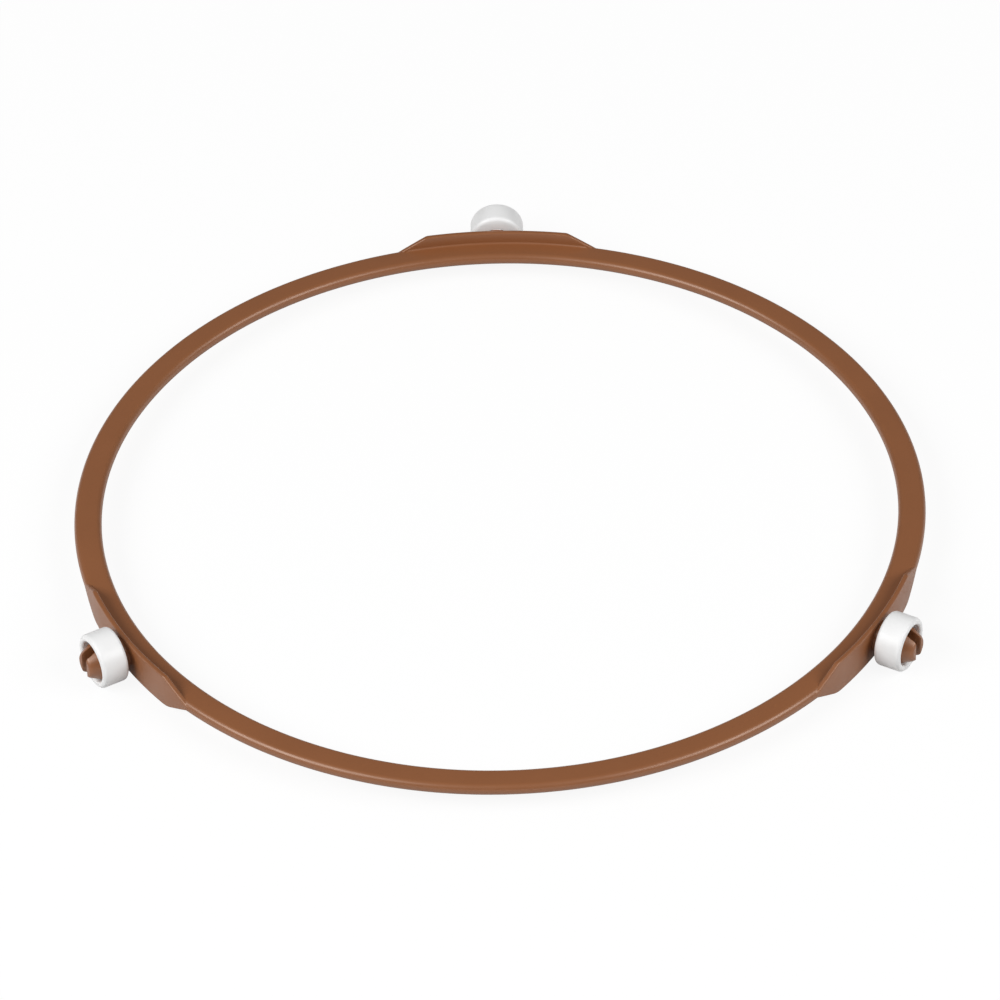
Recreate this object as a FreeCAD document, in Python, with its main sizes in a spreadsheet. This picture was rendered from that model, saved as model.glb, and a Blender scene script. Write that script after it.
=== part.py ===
import FreeCAD, Part
import os
import Sketcher

# Microwave roller ring: a moulded ring bar with three curved walls, and a roller on a snap pin at each.
# Millimetres, +Z up. The origin is on the ring's axis, on the plane that the rollers stand on.
# The first roller station points along +Y.

doc = FreeCAD.newDocument("roller_ring")
sizes = doc.addObject("Spreadsheet::Sheet", "sizes")

driving_sizes = [
    ("ring_diameter", 215.0),
    ("bar_width", 6.9),
    ("bar_thickness", 3.2),
    ("bar_edge_radius", 1.45),
    ("bar_rise", 1.0),
    ("wall_thickness", 1.3),
    ("wall_rise", 3.45),
    ("wall_drop", 2.9),
    ("wall_top_length", 37.4),
    ("wall_waist_length", 56.8),
    ("wall_foot_length", 38.0),
    ("wall_top_corner_radius", 2.0),
    ("wall_foot_corner_radius", 6.0),
    ("wall_edge_chamfer", 0.35),
    ("boss_diameter", 7.8),
    ("boss_reach", 1.45),
    ("shank_diameter", 6.2),
    ("barb_catch", 1.55),
    ("barb_land", 1.1),
    ("nose_diameter", 6.6),
    ("tip_reach", 2.0),
    ("tip_chamfer", 0.5),
    ("slot_width", 2.4),
    ("slot_root", 0.5),
    ("roller_length", 7.0),
    ("roller_edge_radius", 1.0),
    ("rim_width", 1.75),
    ("recess_gap", 0.6),
    ("recess_depth", 2.4),
    ("recess_lip_radius", 0.65),
    ("bore_chamfer", 0.25),
    ("running_clearance", 0.35),
    ("contact_gap", 0.05),
    ("end_play", 0.2),
]
for row, (alias, value) in enumerate(driving_sizes, start=1):
    sizes.set(f"A{row}", alias)
    sizes.set(f"B{row}", str(value))
    sizes.setAlias(f"B{row}", alias)
doc.recompute()

# Radii about a pin's axis, and heights above the floor
shank_radius = "sizes.shank_diameter / 2"
bore_radius = f"({shank_radius} + sizes.running_clearance)"
barb_radius = f"({shank_radius} + sizes.barb_catch)"
recess_radius = f"({barb_radius} + sizes.recess_gap)"
roller_radius = f"({recess_radius} + sizes.rim_width)"
axle_height = roller_radius

# The ring hangs on its rollers, so each pin lies on the lower side of its roller's bore
pin_height = f"({axle_height} - sizes.running_clearance + sizes.contact_gap)"
bar_top = f"({axle_height} + sizes.bar_rise)"
bar_underside = f"({bar_top} - sizes.bar_thickness)"
bar_middle = f"({bar_top} - sizes.bar_thickness / 2)"
wall_top = f"({bar_top} + sizes.wall_rise)"
wall_foot = f"({bar_underside} - sizes.wall_drop)"

# Distances from the ring's axis, from the bar outwards along a pin
bar_outside = "sizes.ring_diameter / 2"
bar_inside = f"({bar_outside} - sizes.bar_width)"
wall_outside = bar_outside
wall_inside = f"({wall_outside} - sizes.wall_thickness)"
wall_middle = f"({wall_outside} - sizes.wall_thickness / 2)"
boss_face = f"({wall_outside} + sizes.boss_reach)"
slot_floor = f"({boss_face} + sizes.slot_root)"
roller_inner_end = f"({boss_face} + sizes.end_play)"
roller_outer_end = f"({roller_inner_end} + sizes.roller_length)"
recess_floor = f"({roller_outer_end} - sizes.recess_depth)"
barb_back = f"({recess_floor} + sizes.end_play)"
barb_front = f"({barb_back} + sizes.barb_land)"
pin_tip = f"({roller_outer_end} + sizes.tip_reach)"
nose_end = f"({pin_tip} - sizes.tip_chamfer)"
tip_radius = "(sizes.nose_diameter / 2 - sizes.tip_chamfer)"

station_names = ["back", "left", "right"]
station_step = 360.0 / len(station_names)
bar_edge_steps = 3
roller_edge_steps = 2
cut_margin = 5.0
match_distance = 0.05


def number(expression):
    return float(sizes.evalExpression(expression.replace("sizes.", "")))


def origin_feature(body, role):
    return next(item for item in body.Origin.OriginFeatures if item.Role == role)


def new_sketch(body, name, role):
    sketch = body.newObject("Sketcher::SketchObject", name)
    sketch.AttachmentSupport = [(origin_feature(body, role), "")]
    sketch.MapMode = "FlatFace"
    return sketch


# A closed outline of straight sides, with each corner's place bound to two expressions
def add_outline(sketch, corners):
    places = [FreeCAD.Vector(number(across), number(up), 0) for across, up in corners]
    first = sketch.GeometryCount
    count = len(places)
    for index in range(count):
        side = Part.LineSegment(places[index], places[(index + 1) % count])
        sketch.addGeometry(side, False)
    for index in range(count):
        following = first + (index + 1) % count
        sketch.addConstraint(Sketcher.Constraint("Coincident", first + index, 2, following, 1))
    for index, (across, up) in enumerate(corners):
        side = first + index
        bind(sketch, "DistanceX", side, places[index].x, across)
        bind(sketch, "DistanceY", side, places[index].y, up)


def bind(sketch, kind, side, value, expression):
    constraint = Sketcher.Constraint(kind, -1, 1, side, 1, value)
    index = sketch.addConstraint(constraint)
    name = f"{kind}_{side}"
    sketch.renameConstraint(index, name)
    sketch.setExpression(f"Constraints.{name}", expression)


# A construction line along +Y at one height, as the axis of a pin or a roller
def add_axle_line(sketch, height):
    up = number(height)
    start = FreeCAD.Vector(0, up, 0)
    end = FreeCAD.Vector(number(wall_inside), up, 0)
    side = sketch.addGeometry(Part.LineSegment(start, end), True)
    sketch.addConstraint(Sketcher.Constraint("Horizontal", side))
    sketch.addConstraint(Sketcher.Constraint("PointOnObject", side, 1, -2))
    bind(sketch, "DistanceY", side, up, height)
    length = sketch.addConstraint(Sketcher.Constraint("DistanceX", side, 1, side, 2, end.x))
    sketch.renameConstraint(length, "axle_line")
    sketch.setExpression("Constraints.axle_line", wall_inside)


def revolve(body, kind, name, sketch, axis):
    feature = body.newObject(kind, name)
    feature.Profile = sketch
    feature.ReferenceAxis = axis
    feature.Angle = 360
    doc.recompute()
    return feature


# A fillet or a chamfer on the edges that the given test picks out
def dress_edges(body, kind, name, edges, setting, size):
    base = body.Tip
    names = [f"Edge{index}" for index, edge in enumerate(base.Shape.Edges, start=1) if edges(edge)]
    if not names:
        raise RuntimeError(f"{name}: no edge to dress")
    dressing = body.newObject(kind, name)
    dressing.Base = (base, names)
    dressing.setExpression(setting, size)
    doc.recompute()


# A rounded corner as equal straight steps on its arc about a centre, which keeps the facets few
def rounded_corner(across, up, radius, first_angle, steps):
    points = []
    for step in range(steps + 1):
        angle = first_angle + 90.0 * step / steps
        points.append((
            f"({across} + {radius} * cos({angle} deg))",
            f"({up} + {radius} * sin({angle} deg))",
        ))
    return points


# The flat bar with rounded edges that runs all the way round
def make_bar():
    body = doc.addObject("PartDesign::Body", "bar")
    section = new_sketch(body, "bar_section", "XZ_Plane")
    radius = "min(sizes.bar_edge_radius; 0.48 * sizes.bar_thickness)"
    outer = f"({bar_outside} - {radius})"
    inner = f"({bar_inside} + {radius})"
    upper = f"({bar_top} - {radius})"
    lower = f"({bar_underside} + {radius})"
    points = rounded_corner(outer, upper, radius, 0, bar_edge_steps)
    points += rounded_corner(inner, upper, radius, 90, bar_edge_steps)
    points += rounded_corner(inner, lower, radius, 180, bar_edge_steps)
    points += rounded_corner(outer, lower, radius, 270, bar_edge_steps)
    add_outline(section, points)
    revolve(body, "PartDesign::Revolution", "bar_turn", section, (section, ["V_Axis"]))
    return body


# One wall, curved with the ring, with sloped ends above and below the bar
def add_wall(body):
    outline = new_sketch(body, "wall_outline", "XZ_Plane")
    top_half = "sizes.wall_top_length / 2"
    waist_half = "sizes.wall_waist_length / 2"
    foot_half = "sizes.wall_foot_length / 2"
    add_outline(outline, [
        (f"-{foot_half}", wall_foot),
        (foot_half, wall_foot),
        (waist_half, bar_middle),
        (top_half, wall_top),
        (f"-{top_half}", wall_top),
        (f"-{waist_half}", bar_middle),
    ])
    slab = body.newObject("PartDesign::Pad", "wall_slab")
    slab.Profile = outline
    slab.setExpression("Length", bar_outside)
    slab.Reversed = True
    doc.recompute()

    curve = new_sketch(body, "wall_curve", "YZ_Plane")
    below = f"({wall_foot} - {cut_margin})"
    above = f"({wall_top} + {cut_margin})"
    beyond = f"({bar_outside} + {cut_margin})"
    add_outline(curve, [("0", below), (wall_inside, below), (wall_inside, above), ("0", above)])
    add_outline(curve, [(wall_outside, below), (beyond, below), (beyond, above), (wall_outside, above)])
    revolve(body, "PartDesign::Groove", "wall_turn", curve, (curve, ["V_Axis"]))

    corners = [
        ("wall_top_corners", top_half, wall_top, "sizes.wall_top_corner_radius"),
        ("wall_foot_corners", foot_half, wall_foot, "sizes.wall_foot_corner_radius"),
    ]
    for name, half, height, radius in corners:
        edges = corner_edges(number(half), number(height))
        dress_edges(body, "PartDesign::Fillet", name, edges, "Radius", radius)
    chamfer = "min(sizes.wall_edge_chamfer; 0.45 * sizes.wall_thickness)"
    dress_edges(body, "PartDesign::Chamfer", "wall_edges", lies_on_curve, "Size", chamfer)


# The two edges that run outwards through a wall's corners at one height
def corner_edges(half, height):
    def is_corner(edge):
        middle = edge.CenterOfMass
        at_corner = abs(abs(middle.x) - half) < match_distance
        return at_corner and abs(middle.z - height) < match_distance
    return is_corner


# The edges of a wall's inner and outer faces, which keep one distance from the ring's axis
def lies_on_curve(edge):
    distances = [(vertex.X ** 2 + vertex.Y ** 2) ** 0.5 for vertex in edge.Vertexes]
    return max(distances) - min(distances) < match_distance


# The shoulder and the barbed pin, turned about the axle line, then slotted from the tip
def add_pin(body):
    profile = new_sketch(body, "pin_profile", "YZ_Plane")
    rows = [
        (wall_middle, "0"),
        (pin_tip, "0"),
        (pin_tip, tip_radius),
        (nose_end, "sizes.nose_diameter / 2"),
        (barb_front, barb_radius),
        (barb_back, barb_radius),
        (barb_back, shank_radius),
        (boss_face, shank_radius),
        (boss_face, "sizes.boss_diameter / 2"),
        (wall_middle, "sizes.boss_diameter / 2"),
    ]
    add_outline(profile, [(along, f"({pin_height} + {radius})") for along, radius in rows])
    add_axle_line(profile, pin_height)
    revolve(body, "PartDesign::Revolution", "pin_turn", profile, (profile, ["Axis0"]))

    opening = new_sketch(body, "slot_opening", "XY_Plane")
    slot_half = "sizes.slot_width / 2"
    beyond = f"({pin_tip} + {cut_margin})"
    add_outline(opening, [
        (f"-{slot_half}", slot_floor),
        (slot_half, slot_floor),
        (slot_half, beyond),
        (f"-{slot_half}", beyond),
    ])
    solid_volume = body.Tip.Shape.Volume
    slot = body.newObject("PartDesign::Pocket", "slot")
    slot.Profile = opening
    slot.Type = "ThroughAll"
    slot.Midplane = True
    doc.recompute()
    if slot.Shape.Volume >= solid_volume:
        raise RuntimeError("the slot cuts nothing")


def make_station(name):
    body = doc.addObject("PartDesign::Body", f"station_{name}")
    add_wall(body)
    add_pin(body)
    return body


# A roller with a bore for the pin's shank and a recess in its outer end for the barbs
def make_roller(name):
    body = doc.addObject("PartDesign::Body", f"roller_{name}")
    profile = new_sketch(body, "roller_profile", "YZ_Plane")
    lip = "min(sizes.recess_lip_radius; 0.38 * sizes.rim_width)"
    edge = "min(sizes.roller_edge_radius; 0.58 * sizes.rim_width)"
    mouth = f"({roller_outer_end} - {lip})"
    outer = f"({roller_outer_end} - {edge})"
    inner = f"({roller_inner_end} + {edge})"
    shoulder = f"({roller_radius} - {edge})"
    rows = [
        (roller_inner_end, f"({bore_radius} + sizes.bore_chamfer)"),
        (f"({roller_inner_end} + sizes.bore_chamfer)", bore_radius),
        (recess_floor, bore_radius),
        (recess_floor, recess_radius),
    ]
    rows += rounded_corner(mouth, f"({recess_radius} + {lip})", lip, 270, roller_edge_steps)
    rows += rounded_corner(outer, shoulder, edge, 0, roller_edge_steps)
    rows += rounded_corner(inner, shoulder, edge, 90, roller_edge_steps)
    add_outline(profile, [(along, f"({axle_height} + {radius})") for along, radius in rows])
    add_axle_line(profile, axle_height)
    revolve(body, "PartDesign::Revolution", "roller_turn", profile, (profile, ["Axis0"]))
    return body


bar = make_bar()
stations = [make_station(name) for name in station_names]
rollers = [make_roller(name) for name in station_names]
for index in range(len(station_names)):
    turn = FreeCAD.Rotation(FreeCAD.Vector(0, 0, 1), index * station_step)
    place = FreeCAD.Placement(FreeCAD.Vector(0, 0, 0), turn)
    stations[index].Placement = place
    rollers[index].Placement = place

ring_frame = doc.addObject("Part::MultiFuse", "ring_frame")
ring_frame.Shapes = [bar] + stations
ring_frame.Refine = True
doc.recompute()

sub_parts = [ring_frame] + rollers
for item in doc.Objects:
    if "Invalid" in item.State or "Error" in item.State:
        raise RuntimeError(f"{item.Label} failed: {item.State}")
for item in sub_parts:
    if item.Shape.isNull() or not item.Shape.isValid() or len(item.Shape.Solids) != 1:
        raise RuntimeError(f"{item.Label} is not one valid solid")

os.makedirs("parts", exist_ok=True)
for item in sub_parts:
    item.Shape.exportStep(f"parts/{item.Label}.step")
    print(f"{item.Label}: {item.Shape.Volume:.1f} mm3, {len(item.Shape.Faces)} faces")
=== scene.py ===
import math
import bpy
import bmesh
from mathutils import Matrix, Vector


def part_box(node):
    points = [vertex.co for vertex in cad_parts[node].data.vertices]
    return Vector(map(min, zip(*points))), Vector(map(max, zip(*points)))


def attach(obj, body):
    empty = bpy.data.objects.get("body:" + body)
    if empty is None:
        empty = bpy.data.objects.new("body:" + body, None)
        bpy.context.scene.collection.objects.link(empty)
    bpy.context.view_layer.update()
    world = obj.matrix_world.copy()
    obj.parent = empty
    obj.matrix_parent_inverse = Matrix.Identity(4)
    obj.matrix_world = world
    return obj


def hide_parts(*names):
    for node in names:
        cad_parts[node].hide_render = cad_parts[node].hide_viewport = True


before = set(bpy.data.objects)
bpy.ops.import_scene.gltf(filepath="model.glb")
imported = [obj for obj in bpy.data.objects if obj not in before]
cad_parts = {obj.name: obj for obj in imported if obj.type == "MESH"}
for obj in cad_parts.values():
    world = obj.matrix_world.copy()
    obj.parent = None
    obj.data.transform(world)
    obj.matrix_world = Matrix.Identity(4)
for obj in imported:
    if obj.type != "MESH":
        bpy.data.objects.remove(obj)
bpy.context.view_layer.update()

scene = bpy.context.scene
scene.view_settings.view_transform = "Standard"
mm = 0.001
near = 0.004 * mm                   # two places closer than this are one
flat = near / 20                    # a face whose corners stray further from its plane is twisted
cornerTurn = math.radians(45.0)     # an edge that turns more than this is a corner to round

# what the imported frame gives: the axle's height, the rollers' ends, the pin's tip and the ring's rim
ringLow, ringHigh = [Vector(corner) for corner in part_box("ring_frame")]
rollerLow, rollerHigh = [Vector(corner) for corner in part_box("roller_back")]
axleHeight = (rollerLow.z + rollerHigh.z) / 2
rollerRadius = (rollerHigh.z - rollerLow.z) / 2
rimRadius = -ringLow.y
pinTip = ringHigh.y
stations = {"back": 0.0, "left": 120.0, "right": 240.0}      # turns about +Z, in degrees


# camera at the photograph's viewing angle, aimed at the ring's middle
view = {
    "elevation": 39.85,
    "turn": 0.65,          # round the ring, towards +X
    "roll": -1.59,
    "distance": 1531.8 * mm,
    "aim": (0.0, 0.0, 8.0 * mm),
    "lens": 218.3,
    "sensor": 36.0,
    "shift": (0.0005, -0.0008),
    "clipEnd": 20.0,
}


def addCamera(view):
    data = bpy.data.cameras.new("camera")
    data.sensor_width = view["sensor"]
    data.lens = view["lens"]
    data.shift_x, data.shift_y = view["shift"]
    data.clip_end = view["clipEnd"]
    camera = bpy.data.objects.new("camera", data)
    scene.collection.objects.link(camera)
    turn = Matrix.Rotation(math.radians(view["turn"]), 4, "Z")
    tilt = Matrix.Rotation(math.radians(90.0 - view["elevation"]), 4, "X")
    roll = Matrix.Rotation(math.radians(view["roll"]), 4, "Z")
    back = Matrix.Translation((0.0, 0.0, view["distance"]))
    camera.matrix_world = Matrix.Translation(view["aim"]) @ turn @ tilt @ roll @ back
    scene.camera = camera
    print("camera placed")


addCamera(view)


# shared mesh helpers
def closeShape(shape):
    bmesh.ops.remove_doubles(shape, verts=shape.verts[:], dist=near)
    bmesh.ops.recalc_face_normals(shape, faces=shape.faces[:])


def roundEdges(shape, edges, offset, segments):
    bmesh.ops.bevel(shape, geom=edges, offset=offset, segments=segments, affect="EDGES",
                    profile=0.5, material=-1, clamp_overlap=False)


def splitShape(shape, place, normal, snap=near, trim=False):
    # a flat cut all the way through, which can drop what lies beyond it
    geometry = shape.verts[:] + shape.edges[:] + shape.faces[:]
    return bmesh.ops.bisect_plane(shape, geom=geometry, plane_co=place, plane_no=normal,
                                  dist=snap, clear_outer=trim)


def drawOut(shape, face, vector):
    drawn = bmesh.ops.extrude_face_region(shape, geom=[face])
    moved = [item for item in drawn["geom"] if isinstance(item, bmesh.types.BMVert)]
    bmesh.ops.translate(shape, verts=moved, vec=vector)


def spinProfile(points, axis, centre, steps, closed):
    # points in the YZ plane, joined in order and spun all the way round
    shape = bmesh.new()
    verts = [shape.verts.new((0.0, y, z)) for y, z in points]
    pairs = list(zip(verts, verts[1:]))
    if closed:
        pairs.append((verts[-1], verts[0]))
    edges = [shape.edges.new(pair) for pair in pairs]
    bmesh.ops.spin(shape, geom=verts + edges, cent=centre, axis=axis, angle=math.tau, steps=steps,
                   use_merge=True)
    closeShape(shape)
    return shape


def turnShape(shape, degrees):
    turn = Matrix.Rotation(math.radians(degrees), 3, "Z")
    bmesh.ops.rotate(shape, cent=(0, 0, 0), matrix=turn, verts=shape.verts[:])


def axleLoop(shape, along, radius, height):
    # the edges of one circle about the back station's pin or roller
    def onLoop(vert):
        away = math.hypot(vert.co.x, vert.co.z - height)
        return abs(vert.co.y - along) < near and abs(away - radius) < near
    return [edge for edge in shape.edges if onLoop(edge.verts[0]) and onLoop(edge.verts[1])]


def joinShapes(first, second):
    # exact union of two closed shapes, given back as a new one
    parts = []
    for name, shape in (("first", first), ("second", second)):
        mesh = bpy.data.meshes.new(name)
        shape.to_mesh(mesh)
        shape.free()
        part = bpy.data.objects.new(name, mesh)
        scene.collection.objects.link(part)
        parts.append(part)
    modifier = parts[0].modifiers.new("join", "BOOLEAN")
    modifier.operation = "UNION"
    modifier.solver = "EXACT"
    modifier.object = parts[1]
    result = bmesh.new()
    result.from_object(parts[0], bpy.context.evaluated_depsgraph_get())
    for part in parts:
        mesh = part.data
        bpy.data.objects.remove(part)
        bpy.data.meshes.remove(mesh)
    bmesh.ops.remove_doubles(result, verts=result.verts[:], dist=near)
    return result


def finishPiece(shape, name, material, sharpAngle):
    for face in shape.faces:
        face.smooth = True
    mesh = bpy.data.meshes.new(name)
    shape.to_mesh(mesh)
    shape.free()
    mesh.set_sharp_from_angle(angle=math.radians(sharpAngle))
    mesh.materials.append(material)
    piece = bpy.data.objects.new(name, mesh)
    scene.collection.objects.link(piece)
    print(name, "has", len(mesh.polygons), "faces")
    return piece


# shared material helpers
noiseMiddle = (0.3, 0.7)      # most of a noise's values lie between these


def startMaterial(name, look):
    material = bpy.data.materials.new(name)
    material.use_nodes = True
    nodes, links = material.node_tree.nodes, material.node_tree.links
    shader = nodes["Principled BSDF"]
    shader.inputs["Specular IOR Level"].default_value = look["specular"]
    return material, nodes, links, shader


def noiseNode(nodes, links, coordinates, scale, detail):
    noise = nodes.new("ShaderNodeTexNoise")
    noise.inputs["Scale"].default_value = scale
    noise.inputs["Detail"].default_value = detail
    links.new(coordinates.outputs["Object"], noise.inputs["Vector"])
    return noise.outputs["Fac"]


def rangeNode(nodes, links, source, low, high):
    # the noise's middle stretch spread over low to high
    spread = nodes.new("ShaderNodeMapRange")
    spread.inputs["From Min"].default_value = noiseMiddle[0]
    spread.inputs["From Max"].default_value = noiseMiddle[1]
    spread.inputs["To Min"].default_value = low
    spread.inputs["To Max"].default_value = high
    links.new(source, spread.inputs["Value"])
    return spread.outputs["Result"]


def mathNode(nodes, links, operation, *values):
    # each value is a number or another node's output
    node = nodes.new("ShaderNodeMath")
    node.operation = operation
    for socket, value in zip(node.inputs, values):
        if isinstance(value, float):
            socket.default_value = value
        else:
            links.new(value, socket)
    return node.outputs["Value"]


def mixTones(nodes, links, look, share, shader):
    tone = nodes.new("ShaderNodeMix")
    tone.data_type = "RGBA"
    tone.inputs["A"].default_value = (*look["dark"], 1.0)
    tone.inputs["B"].default_value = (*look["light"], 1.0)
    links.new(share, tone.inputs["Factor"])
    links.new(tone.outputs["Result"], shader.inputs["Base Color"])


def addBump(nodes, links, height, distance, strength, shader):
    bump = nodes.new("ShaderNodeBump")
    bump.inputs["Strength"].default_value = strength
    bump.inputs["Distance"].default_value = distance
    links.new(height, bump.inputs["Height"])
    links.new(bump.outputs["Normal"], shader.inputs["Normal"])


# brown moulded plastic of the ring: satin, with slow tone drift, fine grain and a patchy gloss
brownPlastic = {
    "light": (0.256, 0.0935, 0.0333),
    "dark": (0.226, 0.0817, 0.0287),
    "drift": (42.0, 4.0),          # each noise's scale and detail
    "driftShare": 0.65,
    "speck": (1300.0, 2.0),
    "speckShare": 0.35,
    "patches": (126.0, 5.0),
    "grain": (2600.0, 3.0),
    "grainHeight": 0.004 * mm,
    "grainStrength": 0.6,
    "roughness": (0.34, 0.41),
    "specular": 0.85,
    "specularTint": (1.0, 0.86, 0.76),      # its gloss is a little warm
}


def makeBrownPlastic(look):
    material, nodes, links, shader = startMaterial("brownPlastic", look)
    shader.inputs["Specular Tint"].default_value = (*look["specularTint"], 1.0)
    coordinates = nodes.new("ShaderNodeTexCoord")
    drift = noiseNode(nodes, links, coordinates, *look["drift"])
    speck = noiseNode(nodes, links, coordinates, *look["speck"])
    slow = rangeNode(nodes, links, drift, 0.0, look["driftShare"])
    share = mathNode(nodes, links, "MULTIPLY_ADD", speck, look["speckShare"], slow)
    mixTones(nodes, links, look, share, shader)
    patches = noiseNode(nodes, links, coordinates, *look["patches"])
    gloss = rangeNode(nodes, links, patches, *look["roughness"])
    links.new(gloss, shader.inputs["Roughness"])
    grain = noiseNode(nodes, links, coordinates, *look["grain"])
    addBump(nodes, links, grain, look["grainHeight"], look["grainStrength"], shader)
    return material


# white slippery plastic of the rollers, with faint turning marks round the tread
whitePlastic = {
    "light": (0.85, 0.85, 0.85),
    "dark": (0.82, 0.82, 0.817),
    "drift": (160.0, 3.0),         # the noise's scale and detail
    "markScale": 620.0,
    "markWander": 1.5,
    "markDetail": 2.0,
    "markHeight": 0.006 * mm,
    "markStrength": 0.5,
    "roughness": (0.3, 0.42),
    "specular": 0.4,
    "subsurface": 0.15,
    "scatter": 0.8 * mm,
    "scatterTint": (1.0, 1.0, 1.0),
}


def makeWhitePlastic(look):
    material, nodes, links, shader = startMaterial("whitePlastic", look)
    shader.inputs["Subsurface Weight"].default_value = look["subsurface"]
    shader.inputs["Subsurface Scale"].default_value = look["scatter"]
    shader.inputs["Subsurface Radius"].default_value = look["scatterTint"]
    coordinates = nodes.new("ShaderNodeTexCoord")
    drift = noiseNode(nodes, links, coordinates, *look["drift"])
    mixTones(nodes, links, look, rangeNode(nodes, links, drift, 0.0, 1.0), shader)
    gloss = rangeNode(nodes, links, drift, *look["roughness"])
    links.new(gloss, shader.inputs["Roughness"])
    marks = nodes.new("ShaderNodeTexWave")
    marks.wave_type = "RINGS"
    marks.rings_direction = "Z"      # rings about the ring's axis run round every roller's tread
    marks.inputs["Scale"].default_value = look["markScale"]
    marks.inputs["Distortion"].default_value = look["markWander"]
    marks.inputs["Detail"].default_value = look["markDetail"]
    links.new(coordinates.outputs["Object"], marks.inputs["Vector"])
    addBump(nodes, links, marks.outputs["Fac"], look["markHeight"], look["markStrength"], shader)
    return material


brown = makeBrownPlastic(brownPlastic)
white = makeWhitePlastic(whitePlastic)
print("materials made")


# the flat bar that runs all the way round
bar = {
    "outside": rimRadius,
    "width": 6.9 * mm,
    "thickness": 3.2 * mm,
    "rise": 1.0 * mm,                      # its top above the axle
    "edgeRadius": 1.45 * mm,
    "edgeSegments": 8,
    "steps": 360,
    "offset": 0.37,                        # in degrees, so that no facet edge meets a wall's middle
}
barTop = axleHeight + bar["rise"]
barUnder = barTop - bar["thickness"]


def makeBar(bar):
    outside, inside = bar["outside"], bar["outside"] - bar["width"]
    section = [(inside, barUnder), (outside, barUnder), (outside, barTop), (inside, barTop)]
    shape = spinProfile(section, (0, 0, 1), (0, 0, 0), bar["steps"], closed=True)
    rims = [edge for edge in shape.edges if edge.calc_face_angle() > cornerTurn]
    roundEdges(shape, rims, bar["edgeRadius"], bar["edgeSegments"])
    closeShape(shape)
    turnShape(shape, bar["offset"])
    print("bar spun")
    return shape


# one wall, made as a flat six-sided plate and then bent round the ring
wall = {
    "thickness": 1.3 * mm,
    "proud": 0.03 * mm,        # covers the bar's rim without lying in it
    "rise": 3.45 * mm,
    "drop": 2.9 * mm,
    "topHalf": 18.7 * mm,
    "waistHalf": 28.4 * mm,
    "footHalf": 19.0 * mm,
    "topCorner": 2.0 * mm,
    "footCorner": 6.0 * mm,
    "cornerSegments": 6,
    "edge": 0.4 * mm,
    "edgeSegments": 4,
    "root": 0.6 * mm,          # hollow fillet where the wall leaves the bar
    "rootSink": 0.15 * mm,
    "rootLap": 0.015 * mm,     # the fillet's curve ends this far inside the wall and the bar
    "rootSetback": 0.52 * mm,  # its ends, inside the wall's sloped ends
    "rootSteps": 6,
    "column": 0.8 * mm,        # the plates are cut into columns this wide before they are bent
    "shift": 0.5,              # in columns, so that no two plates are cut at the same place
    "rootShift": {1: 0.25, -1: 0.75},      # the same, for the fillets above and below the bar
}
wallTop = barTop + wall["rise"]
wallFoot = barUnder - wall["drop"]
wallWaist = (barTop + barUnder) / 2
wallOutside = rimRadius + wall["proud"]
wallInside = wallOutside - wall["thickness"]


def bendPlate(shape, wall, shift):
    # every point goes straight back onto its own circle, and twisted faces are split
    columns = int(wall["waistHalf"] / wall["column"])
    for column in range(-columns - 1, columns + 1):
        splitShape(shape, ((column + shift) * wall["column"], 0, 0), (1, 0, 0))
    for vert in shape.verts:
        vert.co.y = math.sqrt(vert.co.y ** 2 - vert.co.x ** 2)
    shape.normal_update()
    twisted = []
    for face in shape.faces:
        middle = face.calc_center_median()
        if any(abs(face.normal.dot(vert.co - middle)) > flat for vert in face.verts):
            twisted.append(face)
    bmesh.ops.triangulate(shape, faces=twisted)


def cornerEdges(shape, x, z):
    # the edges through the plate at its two corners of one height
    def atCorner(vert):
        return abs(abs(vert.co.x) - x) < near and abs(vert.co.z - z) < near
    found = [edge for edge in shape.edges if atCorner(edge.verts[0]) and atCorner(edge.verts[1])]
    return [edge for edge in found if abs(edge.verts[0].co.x - edge.verts[1].co.x) < near]


def makeWall(wall):
    half = [(wall["footHalf"], wallFoot), (wall["waistHalf"], wallWaist), (wall["topHalf"], wallTop)]
    outline = half + [(-x, z) for x, z in reversed(half)]
    shape = bmesh.new()
    face = shape.faces.new([shape.verts.new((x, wallInside, z)) for x, z in outline])
    drawOut(shape, face, (0.0, wall["thickness"], 0.0))
    closeShape(shape)
    for (x, z), radius in ((half[2], wall["topCorner"]), (half[0], wall["footCorner"])):
        slope = math.atan2(abs(z - wallWaist), wall["waistHalf"] - x)
        offset = radius * math.tan(slope / 2)
        roundEdges(shape, cornerEdges(shape, x, z), offset, wall["cornerSegments"])
    rim = [edge for edge in shape.edges if abs(edge.verts[0].co.y - edge.verts[1].co.y) < near]
    roundEdges(shape, rim, wall["edge"], wall["edgeSegments"])
    closeShape(shape)
    bendPlate(shape, wall, wall["shift"])
    print("wall bent")
    return shape


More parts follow.
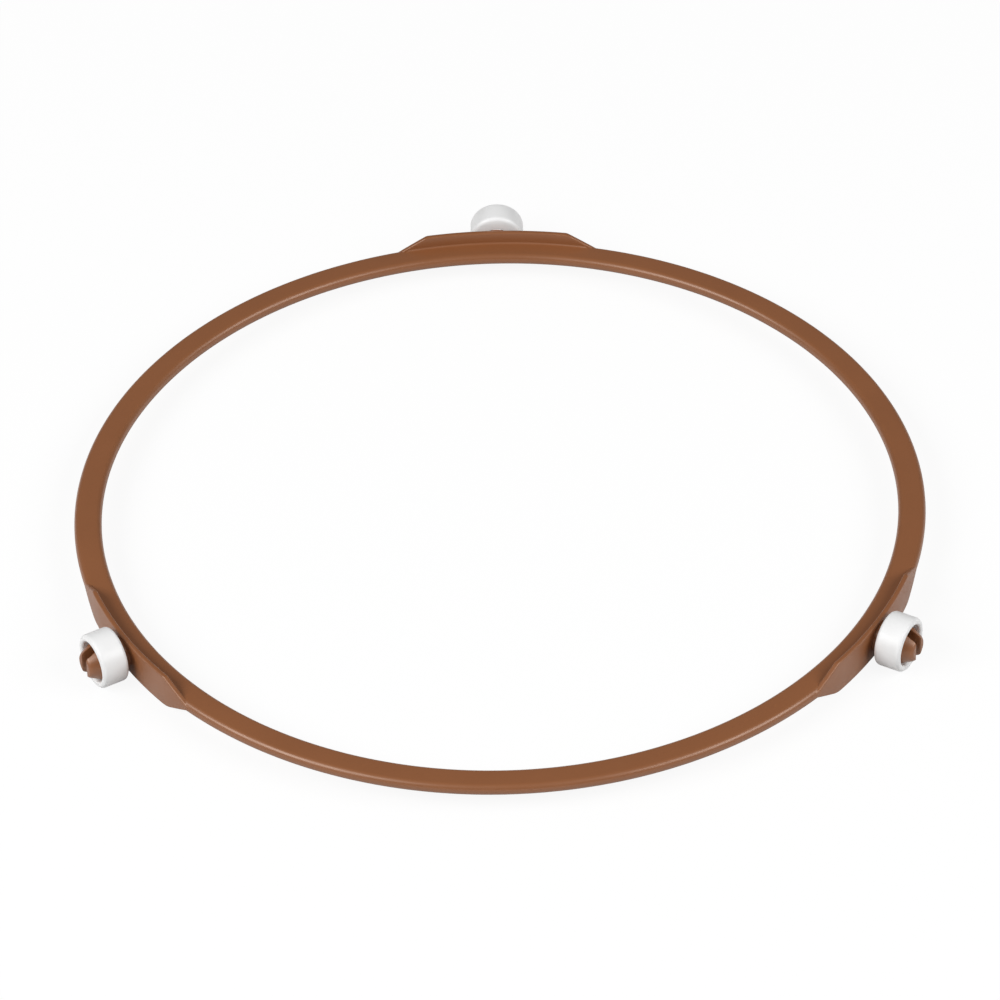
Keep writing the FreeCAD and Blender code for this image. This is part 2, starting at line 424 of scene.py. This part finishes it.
def makeRoot(wall, level, side):
    # hollow fillet along the wall's inner face, above the bar (side 1) or below it (side -1)
    radius, sink, lap = wall["root"], wall["rootSink"], wall["rootLap"]
    inner, buried = wallInside - radius, level - side * sink
    section = [(inner, buried), (wallInside + sink, buried), (wallInside + sink, level + side * radius)]
    for step in range(wall["rootSteps"] + 1):
        angle = math.radians(90.0 * step / wall["rootSteps"])
        section.append((inner + radius * math.cos(angle) + lap,
                        level + side * (radius - radius * math.sin(angle) - lap)))
    shape = bmesh.new()
    end = shape.faces.new([shape.verts.new((-wall["waistHalf"], y, z)) for y, z in section])
    drawOut(shape, end, (2.0 * wall["waistHalf"], 0.0, 0.0))
    endHalf, endHeight = (wall["topHalf"], wallTop) if side > 0 else (wall["footHalf"], wallFoot)
    rise, run = abs(endHeight - wallWaist), wall["waistHalf"] - endHalf
    for hand in (1, -1):
        # the wall's sloped end trims the strip too
        normal = Vector((hand * rise, 0.0, side * run)).normalized()
        place = Vector((hand * wall["waistHalf"], 0.0, wallWaist)) - normal * wall["rootSetback"]
        cut = splitShape(shape, place, normal, snap=0.0, trim=True)
        loop = [item for item in cut["geom_cut"] if isinstance(item, bmesh.types.BMEdge)]
        bmesh.ops.contextual_create(shape, geom=loop)
    closeShape(shape)
    bendPlate(shape, wall, wall["rootShift"][side])
    return shape


# the shoulder and the split snap pin that holds a roller, on the back station's axle
pin = {
    "drop": 0.3 * mm,             # the pin lies on the lower side of its roller's bore
    "bossRadius": 3.9 * mm,
    "bossReach": 1.45 * mm,
    "bossEdge": 0.1 * mm,
    "shankRadius": 3.1 * mm,
    "barbRadius": 4.65 * mm,
    "barbFromEnd": 2.2 * mm,       # the barb's back, from the roller's outer end
    "barbLand": 1.1 * mm,
    "noseRadius": 3.3 * mm,
    "tipChamfer": 0.5 * mm,
    "softEdge": 0.22 * mm,
    "edgeSegments": 3,
    "slotWidth": 2.4 * mm,
    "slotRoot": 0.5 * mm,
    "slotEdge": 0.12 * mm,
    "slotEdgeSegments": 2,
    "slotMerge": 0.05 * mm,        # shorter edges would fold when the slot's lips are rounded
    "steps": 96,
}
bossFace = rimRadius + pin["bossReach"]
pinHeight = axleHeight - pin["drop"]


def cutSlot(shape, pin):
    # planes mark the slot's walls and floor, what lies between goes, and flat faces close the gap
    half, floor = pin["slotWidth"] / 2, bossFace + pin["slotRoot"]
    splitShape(shape, (half, 0, 0), (1, 0, 0))
    splitShape(shape, (-half, 0, 0), (1, 0, 0))
    splitShape(shape, (0, floor, 0), (0, 1, 0))
    middles = [(face, face.calc_center_median()) for face in shape.faces]
    waste = [face for face, middle in middles if abs(middle.x) < half and middle.y > floor]
    bmesh.ops.delete(shape, geom=waste, context="FACES")
    closing = []
    for side in (half, -half):
        rim = [vert for vert in shape.verts if vert.is_boundary and abs(vert.co.x - side) < near]
        ends = [vert for vert in rim if abs(vert.co.y - floor) < near]
        curved = [vert for vert in rim if vert not in ends]
        bmesh.ops.remove_doubles(shape, verts=curved, dist=pin["slotMerge"])
        closing.append(shape.edges.new(ends))
        border = [edge for edge in shape.edges if len(edge.link_faces) < 2
                  and all(abs(vert.co.x - side) < near for vert in edge.verts)]
        bmesh.ops.contextual_create(shape, geom=border)
    arcs = [edge for edge in shape.edges if edge.is_boundary and edge not in closing]
    bmesh.ops.contextual_create(shape, geom=arcs + closing)
    closeShape(shape)

    def onLip(vert):
        return abs(abs(vert.co.x) - half) < near and vert.co.y > floor + near
    lips = [edge for edge in shape.edges if edge.calc_face_angle() > cornerTurn
            and onLip(edge.verts[0]) and onLip(edge.verts[1])]
    roundEdges(shape, lips, pin["slotEdge"], pin["slotEdgeSegments"])
    closeShape(shape)


def makePin(pin):
    root = wallOutside - wall["thickness"] / 2
    barbBack = rollerHigh.y - pin["barbFromEnd"]
    barbFront = barbBack + pin["barbLand"]
    noseEnd = pinTip - pin["tipChamfer"]
    tipRadius = pin["noseRadius"] - pin["tipChamfer"]
    profile = [(root, 0.0), (root, pin["bossRadius"]),
               (bossFace, pin["bossRadius"]), (bossFace, pin["shankRadius"]),
               (barbBack, pin["shankRadius"]), (barbBack, pin["barbRadius"]),
               (barbFront, pin["barbRadius"]), (noseEnd, pin["noseRadius"]),
               (pinTip, tipRadius), (pinTip, 0.0)]
    points = [(along, pinHeight + radius) for along, radius in profile]
    shape = spinProfile(points, (0, 1, 0), (0, 0, pinHeight), pin["steps"], closed=False)
    for along, radius, offset in ((bossFace, pin["bossRadius"], pin["bossEdge"]),
                                  (barbBack, pin["barbRadius"], pin["softEdge"]),
                                  (barbFront, pin["barbRadius"], pin["softEdge"]),
                                  (noseEnd, pin["noseRadius"], pin["softEdge"]),
                                  (pinTip, tipRadius, pin["softEdge"])):
        roundEdges(shape, axleLoop(shape, along, radius, pinHeight), offset, pin["edgeSegments"])
    closeShape(shape)
    cutSlot(shape, pin)
    print("pin turned and slotted")
    return shape


# the whole moulding: one station is made and joined to the bar three times
ring = {
    "sharpAngle": 32.0,      # in degrees, edges that turn more stay crisp
}


def makeRing():
    station = makeWall(wall)
    for level, side in ((barTop, 1), (barUnder, -1)):
        station = joinShapes(station, makeRoot(wall, level, side))
    station = joinShapes(station, makePin(pin))
    shape = makeBar(bar)
    for name, turn in stations.items():
        copy = station.copy()
        turnShape(copy, turn)
        shape = joinShapes(shape, copy)
        print("station", name, "joined")
    station.free()
    return shape


ringPiece = finishPiece(makeRing(), "ringFrame", brown, ring["sharpAngle"])
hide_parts("ring_frame")
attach(ringPiece, "ring")


# a roller with a bore for the pin and a recess round its barbs
roller = {
    "boreRadius": 3.45 * mm,
    "boreEdge": 0.1 * mm,
    "recessRadius": 5.25 * mm,
    "recessDepth": 2.4 * mm,
    "lip": 0.65 * mm,
    "floorEdge": 0.15 * mm,
    "edgeRadius": 1.0 * mm,
    "edgeSegments": 6,
    "steps": 128,
    "sharpAngle": 40.0,
}


def makeRoller(roller, turn):
    inner, outer = rollerLow.y, rollerHigh.y
    floor = outer - roller["recessDepth"]
    bore, recess = roller["boreRadius"], roller["recessRadius"]
    profile = [(inner, bore), (floor, bore), (floor, recess), (outer, recess), (outer, rollerRadius),
               (inner, rollerRadius)]
    points = [(along, axleHeight + radius) for along, radius in profile]
    shape = spinProfile(points, (0, 1, 0), (0, 0, axleHeight), roller["steps"], closed=True)
    for along, radius, offset in ((inner, rollerRadius, roller["edgeRadius"]),
                                  (outer, rollerRadius, roller["edgeRadius"]),
                                  (outer, recess, roller["lip"]),
                                  (floor, bore, roller["floorEdge"]),
                                  (inner, bore, roller["boreEdge"])):
        roundEdges(shape, axleLoop(shape, along, radius, axleHeight), offset, roller["edgeSegments"])
    closeShape(shape)
    turnShape(shape, turn)
    return shape


for name, turn in stations.items():
    piece = finishPiece(makeRoller(roller, turn), name + "Roller", white, roller["sharpAngle"])
    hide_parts("roller_" + name)
    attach(piece, name + "_roller")


# pale studio: a wide white floor, an even surround and a soft light at each side
studio = {
    "floorSize": 3.0,
    "floorTone": 0.97,
    "floorBounce": 0.5,             # what the floor throws back onto the object
    "floorGlow": 0.9,               # the share of plain white in what the camera sees of the floor
    "floorGloss": 0.1,              # and in what gloss and glass see of it, beside its shadows
    "surround": 0.19,
    "lampDistance": 1.6,
}
softboxes = [      # degrees from +X round to +Y, and degrees above the floor
    {"name": "leftBox", "azimuth": 210.0, "height": 38.0, "size": (1.2, 0.8), "power": 20.6},
    {"name": "rightBox", "azimuth": 335.0, "height": 38.0, "size": (1.2, 0.8), "power": 16.4},
]


def makeFloorMaterial(studio):
    material = bpy.data.materials.new("floor")
    material.use_nodes = True
    nodes, links = material.node_tree.nodes, material.node_tree.links
    nodes.remove(nodes["Principled BSDF"])
    path = nodes.new("ShaderNodeLightPath").outputs
    tone = nodes.new("ShaderNodeMapRange")      # only the bounced light sees a darker floor
    tone.inputs["To Min"].default_value = studio["floorTone"]
    tone.inputs["To Max"].default_value = studio["floorBounce"]
    links.new(path["Is Diffuse Ray"], tone.inputs["Value"])
    lit = nodes.new("ShaderNodeBsdfDiffuse")
    links.new(tone.outputs["Result"], lit.inputs["Color"])
    glow = nodes.new("ShaderNodeEmission")
    mirrored = mathNode(nodes, links, "MAXIMUM", path["Is Glossy Ray"], path["Is Transmission Ray"])
    weak = mathNode(nodes, links, "MULTIPLY", mirrored, studio["floorGloss"])
    share = mathNode(nodes, links, "MULTIPLY_ADD", path["Is Camera Ray"], studio["floorGlow"], weak)
    mix = nodes.new("ShaderNodeMixShader")
    links.new(share, mix.inputs["Fac"])
    links.new(lit.outputs["BSDF"], mix.inputs[1])
    links.new(glow.outputs["Emission"], mix.inputs[2])
    links.new(mix.outputs["Shader"], nodes["Material Output"].inputs["Surface"])
    return material


def addFloor(studio):
    shape = bmesh.new()
    bmesh.ops.create_grid(shape, x_segments=1, y_segments=1, size=studio["floorSize"])
    mesh = bpy.data.meshes.new("floor")
    shape.to_mesh(mesh)
    shape.free()
    mesh.materials.append(makeFloorMaterial(studio))
    floor = bpy.data.objects.new("floor", mesh)
    scene.collection.objects.link(floor)


def addSurround(studio):
    world = bpy.data.worlds.new("studio")
    world.use_nodes = True
    background = world.node_tree.nodes["Background"]
    background.inputs["Color"].default_value = (1.0, 1.0, 1.0, 1.0)
    background.inputs["Strength"].default_value = studio["surround"]
    scene.world = world


def addSoftbox(box, distance):
    data = bpy.data.lights.new(box["name"], "AREA")
    data.shape = "RECTANGLE"
    data.size, data.size_y = box["size"]
    data.energy = box["power"]
    lamp = bpy.data.objects.new(box["name"], data)
    azimuth, height = math.radians(box["azimuth"]), math.radians(box["height"])
    level = math.cos(height)
    towards = Vector((level * math.cos(azimuth), level * math.sin(azimuth), math.sin(height)))
    lamp.location = distance * towards
    lamp.rotation_euler = towards.to_track_quat("Z", "Y").to_euler()
    scene.collection.objects.link(lamp)


addFloor(studio)
addSurround(studio)
for box in softboxes:
    addSoftbox(box, studio["lampDistance"])
print("studio set")
